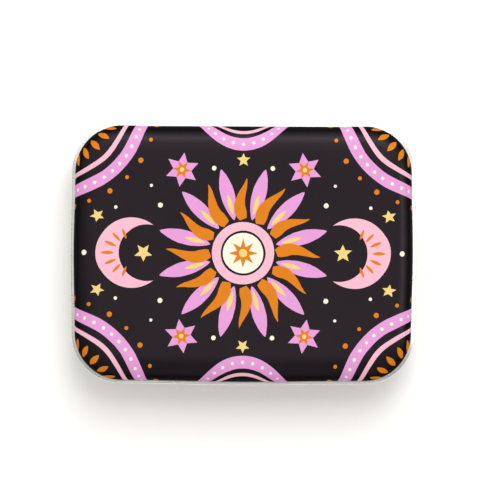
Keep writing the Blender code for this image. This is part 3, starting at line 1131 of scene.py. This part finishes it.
def ink_material(name, tint, finish, skirt):
    """One printed ink: even, satin, with the slight cloudiness and grain of a rolled film."""
    made, tree, skin, source = new_material("ink_" + name)
    place = source["Object"]
    grain = noise(tree, place, 3400, 2)
    mottle = weighted(tree, (noise(tree, place, 180, 3), 0.6), (grain, 0.4))
    fill(tree, skin.inputs["Base Color"],
         shades(tree, spread(tree, mottle, 0.35, 0.65), tint, 0.955, 1.02))
    film(tree, skin, source, grain, finish, finish.lacquer_gloss + 0.05, 0.05, skirt)
    peel = bumped(tree, noise(tree, place, 850, 2), 0.004 * MM)
    fill(tree, skin.inputs["Normal"], bumped(tree, grain, 0.0009 * MM, peel))
    return made


def tinplate_material(finish):
    """Bright tinplate: rolling lines, faint crystals, light marks, and painted shade that makes the
    upright walls darker than the flats.
    """
    made, tree, skin, source = new_material("bright_tinplate")
    place = source["Object"]
    tilt = maths(tree, "ABSOLUTE", height_of(tree, source["Normal"]))
    flat_lines = noise(tree, place, 1.0, 3, (25, 4200, 25), 0.6)
    wall_lines = noise(tree, place, 1.0, 3, (25, 25, 4200), 0.6)
    level = spread(tree, tilt, 0.35, 0.75)
    lines = node(tree, "ShaderNodeMix", {0: level, 2: wall_lines, 3: flat_lines}).outputs[0]
    crystal = node(tree, "ShaderNodeTexVoronoi", {"Vector": place, "Scale": 420.0}).outputs["Color"]
    crystal = node(tree, "ShaderNodeSeparateColor", {0: crystal}).outputs[0]
    tone = weighted(tree, (crystal, 0.07), (noise(tree, place, 90, 3), 0.23), (lines, 0.70))
    marks = noise(tree, place, 1.0, 2, (2600, 2600, 90), 0.55)
    mark = spread(tree, marks, 0.66, 0.80)
    streaks = spread(tree, tone, 0.32, 0.66)
    # Painted shade: the flat faces take a lighter copy of the tin's colour and the upright walls a
    # darker one, chosen by which way the surface faces.
    bright = shades(tree, streaks, finish.tin, 0.84, 1.07)
    drawn = shades(tree, streaks, finish.tin, 0.66, 0.88)
    metal = blend(tree, spread(tree, tilt, 0.05, 0.30), drawn, bright)
    fill(tree, skin.inputs["Base Color"], blend(tree, mark, metal, toned(finish.tin, 0.88)))
    skin.inputs["Metallic"].default_value = 0.9
    fill(tree, skin.inputs["Roughness"],
         maths(tree, "ADD", spread(tree, tone, 0.3, 0.7, 0.24, 0.36),
               maths(tree, "MULTIPLY", mark, 0.08)))
    fill(tree, skin.inputs["Normal"], bumped(tree, lines, 0.0008 * MM))
    return made


def wire_material(finish):
    """Bright drawn steel wire, with drawing lines along it."""
    made, tree, skin, source = new_material("drawn_wire")
    lines = noise(tree, source["Object"], 1.0, 3, (20, 7000, 7000), 0.6)
    fill(tree, skin.inputs["Base Color"], shades(tree, lines, finish.wire, 0.82, 1.1))
    skin.inputs["Metallic"].default_value = 1.0
    fill(tree, skin.inputs["Roughness"], spread(tree, lines, 0.3, 0.7, 0.22, 0.36))
    fill(tree, skin.inputs["Normal"], bumped(tree, lines, 0.002 * MM))
    return made


# Pieces


def outline_object(form):
    """The outline as loose points that carry their outward directions."""
    stations = outline(form)
    points = [(*station.point, 0.0) for station in stations]
    outward = [(*station.normal, 0.0) for station in stations]
    return points_object("outline", points, outward=outward)


def swept_sheet(form, name, path, thickness, material):
    """One pressed sheet: a path with a thickness, carried round the outline."""
    section = points_object("section", closed_section(path, thickness))
    values = {"Section": section, "Middle": (0.0, form.centre_y, 0.0), "Weld": WELD_GAP,
              "Material": material}
    made = run_tree(sheet_tree(), outline_object(form), values, name)
    discard(section)
    return tidy(made)


def knuckle_row(form, name, first, rising, thickness, radius, material):
    """Every second knuckle, each a strip that leaves a wall and rolls round the wire."""
    pitch = 2 * form.hinge_half / form.knuckle_count
    half = (pitch - form.knuckle_gap) / 2
    side = 1 if rising else -1
    relief = form.tray_relief if rising else form.lid_relief
    root = (form.pin_y + radius, form.pin_z - side * (relief + form.knuckle_root))
    roll = arc((form.pin_y, form.pin_z), radius, 0, side * KNUCKLE_TURN, KNUCKLE_STEPS)
    mesh = bmesh.new()
    extruded_strip(mesh, [root] + roll, thickness, -half, half)
    knuckle = as_object(name, mesh)
    start = -form.hinge_half + pitch * (first + 0.5)
    count = len(range(first, form.knuckle_count, 2))
    values = {"Count": count, "First": start, "Pitch": 2 * pitch, "Material": material}
    return run_tree(row_tree(), knuckle, values, name)


def lid_cutter(form):
    """The block that cuts the lid's skirt back behind the hinge."""
    reach = form.radius + form.rim_reach
    low = (-form.relief_half, form.corner_y, form.pin_z - form.radius)
    high = (form.relief_half, form.corner_y + 2 * reach, form.cut_z)
    return block("lid_relief_cut", low, high)


def lid_layer(form, name, path, thickness, knuckle_sheet, knuckle_middle, material):
    """A layer of the lid, cut back behind the hinge and rolled into the lid's two knuckles."""
    layer = swept_sheet(form, name + "_draft", path, thickness, material)
    cutter = lid_cutter(form)
    knuckles = knuckle_row(form, name + "_knuckles", 1, False, knuckle_sheet, knuckle_middle,
                           material)
    combine(layer, cutter, "DIFFERENCE")
    combine(layer, knuckles, "UNION")
    made = smooth(tidy(bake(layer, name)))
    discard(cutter, knuckles)
    return made


def loft(form, name, material):
    """The tray's sheet, whose section changes round the outline."""
    mesh = bmesh.new()
    rings = []
    for station in outline(form):
        left, right = both_sides(tray_path(form, station), form.sheet)
        rings.append([mesh.verts.new(station.place(spot.x, spot.y)) for spot in left + right[::-1]])
    size = len(rings[0])
    for index, ring in enumerate(rings):
        following = rings[(index + 1) % len(rings)]
        for low in range(size - 1):
            mesh.faces.new((ring[low], ring[low + 1], following[low + 1], following[low]))
    mesh.faces.new([ring[0] for ring in rings])
    mesh.faces.new([ring[-1] for ring in reversed(rings)])
    return as_object(name, mesh, [material])


def lay_print(form, surface, layer, level, spots, motifs, material):
    """One ink of the print, wrapped over the lid."""
    names = sorted({spot[0] for spot in spots})
    shelf = bpy.data.collections.new("motifs")
    bpy.context.scene.collection.children.link(shelf)
    helpers = []
    for index, name in enumerate(names):
        points, faces = motifs[name]
        data = bpy.data.meshes.new(name)
        data.from_pydata([(point.x * MM, point.y * MM, 0) for point in points], [], faces)
        helper = bpy.data.objects.new(f"{index:02d}_{name}", data)
        shelf.objects.link(helper)
        tidy(helper)
        if data.polygons[0].normal.z < 0:
            data.flip_normals()
        helpers.append(helper)
    start = points_object("spots", [(x * MM, y * MM, 0) for _, x, y, _, _ in spots],
                          motif=[names.index(spot[0]) for spot in spots],
                          turn=[math.radians(spot[3]) for spot in spots],
                          size=[float(spot[4]) for spot in spots])
    shoulder = math.hypot(form.reach, form.drop) / math.sqrt(2) * QUARTER
    values = {
        "Motifs": shelf, "Surface": surface,
        "Inner Corner": (form.corner_x, form.half_depth - form.radius, 0.0),
        "Flat Radius": form.radius - form.reach, "Shoulder Reach": form.reach,
        "Shoulder Drop": form.drop, "Shoulder Length": shoulder,
        "Print Reach": shoulder + form.top - form.drop - form.cut_z - PRINT_MARGIN,
        "Middle": (0.0, form.centre_y, form.top), "Clearance": WRAP_CLEARANCE,
        "Ink Root": INK_ROOT, "Ink Top": (FIRST_INK_MM + INK_STEP_MM * level) * MM,
        "Weld": WELD_GAP, "Material": material}
    made = tidy(run_tree(print_tree(), start, values, "print_" + layer))
    discard(*helpers)
    bpy.data.collections.remove(shelf)
    return smooth(made)


def settle(piece, body, stands_for=None):
    """Hands a finished piece to the frame."""
    if stands_for:
        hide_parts(stands_for)
    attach(piece, body)


# Operators


class TIN_OT_tray(bpy.types.Operator):
    """Builds the tray from one pressed sheet, with its three knuckles"""

    bl_idname = "tin.tray"
    bl_label = "Tray"

    def execute(self, context):
        form = Form(context.scene.tin_sizes)
        material = tinplate_material(context.scene.tin_finish)
        tray = loft(form, "tray_draft", material)
        knuckles = knuckle_row(form, "tray_knuckles", 0, True, form.knuckle_sheet,
                               form.knuckle_radius - form.knuckle_sheet / 2, material)
        combine(tray, knuckles, "UNION")
        made = smooth(tidy(bake(tray, "tray_sheet")))
        discard(knuckles)
        settle(made, "tray", "base_tray")
        return {"FINISHED"}


class TIN_OT_lid(bpy.types.Operator):
    """Builds the lid's sheet, with its rolled rim and its two knuckles"""

    bl_idname = "tin.lid"
    bl_label = "Lid Sheet"

    def execute(self, context):
        form = Form(context.scene.tin_sizes)
        material = bpy.data.materials["bright_tinplate"]
        made = lid_layer(form, "lid_sheet", lid_path(form), form.sheet, form.knuckle_sheet,
                         form.knuckle_radius - form.knuckle_sheet / 2, material)
        settle(made, "lid", "lid")
        return {"FINISHED"}


class TIN_OT_lacquer(bpy.types.Operator):
    """Coats the outside of the lid and of its knuckles with lacquer"""

    bl_idname = "tin.lacquer"
    bl_label = "Lid Lacquer"

    def execute(self, context):
        form = Form(context.scene.tin_sizes)
        material = lacquer_material(context.scene.tin_finish, form.top - form.drop)
        made = lid_layer(form, "lid_lacquer", coat_path(form), form.coat, form.coat,
                         form.knuckle_radius + form.coat / 2, material)
        settle(made, "lid")
        return {"FINISHED"}


class TIN_OT_print(bpy.types.Operator):
    """Prints the five inks on the lid, one over the other"""

    bl_idname = "tin.print"
    bl_label = "Lid Print"

    def execute(self, context):
        form = Form(context.scene.tin_sizes)
        finish = context.scene.tin_finish
        surface = bpy.data.objects["lid_lacquer"]
        motifs = print_motifs(random.Random(PRINT_SEED))
        for level, (layer, spots) in enumerate(print_layers()):
            material = ink_material(layer, getattr(finish, layer), finish, form.top - form.drop)
            made = lay_print(form, surface, layer, level, spots, motifs, material)
            settle(made, "lid")
        return {"FINISHED"}


class TIN_OT_wire(bpy.types.Operator):
    """Gives the hinge wire its drawn finish"""

    bl_idname = "tin.wire"
    bl_label = "Hinge Wire"

    def execute(self, context):
        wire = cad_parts["hinge_pin"]
        material = wire_material(context.scene.tin_finish)
        for slot in wire.material_slots:
            slot.material = material
        return {"FINISHED"}


def area_light(name, strength, toward, distance, size, glare, aim):
    """A soft rectangular light: one that shapes the gloss, or a polarised one without glare."""
    data = bpy.data.lights.new(name, "AREA")
    data.shape = "RECTANGLE"
    data.size, data.size_y = size
    data.energy = strength
    lamp = link(name, data)
    lamp.location = aim + Vector(toward).normalized() * distance
    lamp.rotation_euler = (aim - lamp.location).to_track_quat("-Z", "Y").to_euler()
    lamp.visible_camera = False
    lamp.visible_glossy = glare
    lamp.visible_diffuse = not glare


def white_floor(brightness):
    """A wide matt floor that looks whiter to the camera than it is to the light."""
    mesh = bmesh.new()
    bmesh.ops.create_grid(mesh, x_segments=2, y_segments=2, size=FLOOR_REACH)
    made, tree, skin, _ = new_material("floor_white")
    path = node(tree, "ShaderNodeLightPath").outputs
    seen = maths(tree, "MAXIMUM", path["Is Camera Ray"], path["Is Glossy Ray"],
                 path["Is Transmission Ray"])
    tone = maths(tree, "ADD", maths(tree, "MULTIPLY", seen, brightness - FLOOR_TONE), FLOOR_TONE)
    shade = node(tree, "ShaderNodeCombineColor", {0: tone, 1: tone, 2: tone}).outputs[0]
    plain = node(tree, "ShaderNodeBsdfDiffuse", {"Color": shade}).outputs[0]
    tree.nodes.remove(skin)
    fill(tree, tree.nodes["Material Output"].inputs["Surface"], plain)
    return as_object("floor", mesh, [made])


def canopy_light(tree, brightness):
    """What gloss shows all round: a canopy that dims towards its edges, and a low glow."""
    facing = node(tree, "ShaderNodeTexCoord").outputs["Generated"]
    part = node(tree, "ShaderNodeSeparateXYZ", {0: facing}).outputs
    # Dim towards the front, but for a paler stretch at the very front
    front = maths(tree, "ADD", spread(tree, part["Y"], -0.50, 0.0, 0.15, 1.0),
                  spread(tree, part["Y"], -0.98, -0.80, 0.55, 0.0))
    # Dim towards the left, less so behind, and dim towards the right
    behind = maths(tree, "MULTIPLY", maths(tree, "MAXIMUM", part["Y"], 0), 1.2)
    left = spread(tree, maths(tree, "ADD", part["X"], behind), -0.95, -0.25, 0.30, 1.0)
    right = spread(tree, part["X"], 0.40, 0.90, brightness, brightness * 0.45)
    # Nothing of the canopy near the horizon, where the glow is
    above = spread(tree, part["Z"], *CANOPY_EDGE)
    glow = spread(tree, part["Z"], *CANOPY_EDGE, 0.9, 0.0)
    return maths(tree, "ADD", maths(tree, "MULTIPLY", front, left, right, above), glow)


def studio_world(stage):
    """The surroundings: white to the camera, even and warm to surfaces, a canopy to gloss."""
    world = bpy.data.worlds.new("studio")
    world.use_nodes = True
    tree = world.node_tree
    path = node(tree, "ShaderNodeLightPath").outputs
    even = weighted(tree, (path["Is Diffuse Ray"], stage.ambient),
                    (path["Is Glossy Ray"], canopy_light(tree, stage.canopy)))
    straight = maths(tree, "MAXIMUM", path["Is Camera Ray"], path["Is Transmission Ray"])
    background = tree.nodes["Background"].inputs
    fill(tree, background["Strength"], maths(tree, "ADD", even, straight))
    fill(tree, background["Color"], blend(tree, path["Is Diffuse Ray"], WHITE, WARM_WHITE))
    return world


def top_camera(stage, form):
    """A distant camera above the lid, slightly turned and a little off the middle."""
    data = bpy.data.cameras.new("camera")
    data.sensor_width = SENSOR_WIDTH
    data.lens = data.sensor_width * stage.camera_height / stage.view_width
    data.clip_start, data.clip_end = 0.01, 20
    camera = link("camera", data)
    camera.location = (CAMERA_X, form.centre_y + CAMERA_Y,
                       form.parting + SKIRT_RISE + stage.camera_height)
    camera.rotation_euler = (0, 0, CAMERA_ROLL)
    return camera


class TIN_OT_stage(bpy.types.Operator):
    """Sets the floor, the lights and the camera"""

    bl_idname = "tin.stage"
    bl_label = "Stage"

    def execute(self, context):
        stage = context.scene.tin_stage
        form = Form(context.scene.tin_sizes)
        floor = white_floor(stage.floor)
        context.scene.world = studio_world(stage)
        aim = Vector((0, form.centre_y, form.parting))
        for name, setting, *placing in LAMPS:
            area_light(name, getattr(stage, setting), *placing, aim)
        context.scene.camera = top_camera(stage, form)
        context.scene.view_settings.view_transform = "Standard"
        return {"FINISHED"}


class TIN_PT_build(bpy.types.Panel):
    """Lists the tin's pieces and settings"""

    bl_label = "Tin Box"
    bl_space_type = "VIEW_3D"
    bl_region_type = "UI"
    bl_category = "Tin Box"

    def draw(self, context):
        """Shows a button for each step, then every setting."""
        for step in STEPS:
            self.layout.operator(step.bl_idname)
        for settings in (context.scene.tin_sizes, context.scene.tin_finish,
                         context.scene.tin_stage):
            box = self.layout.box()
            for name in settings.__annotations__:
                box.prop(settings, name)


STEPS = (TIN_OT_tray, TIN_OT_lid, TIN_OT_lacquer, TIN_OT_print, TIN_OT_wire, TIN_OT_stage)
GROUPS = (TinSizes, TinFinish, StageSettings)


def register():
    """Adds the settings, the operators and the panel."""
    for group in (*GROUPS, *STEPS, TIN_PT_build):
        bpy.utils.register_class(group)
    bpy.types.Scene.tin_sizes = bpy.props.PointerProperty(type=TinSizes)
    bpy.types.Scene.tin_finish = bpy.props.PointerProperty(type=TinFinish)
    bpy.types.Scene.tin_stage = bpy.props.PointerProperty(type=StageSettings)


def unregister():
    """Takes them out again."""
    del bpy.types.Scene.tin_sizes
    del bpy.types.Scene.tin_finish
    del bpy.types.Scene.tin_stage
    for group in reversed((*GROUPS, *STEPS, TIN_PT_build)):
        bpy.utils.unregister_class(group)


def main():
    register()
    bpy.ops.tin.tray()
    bpy.ops.tin.lid()
    bpy.ops.tin.lacquer()
    bpy.ops.tin.print()
    bpy.ops.tin.wire()
    bpy.ops.tin.stage()


if __name__ == "__main__":
    main()
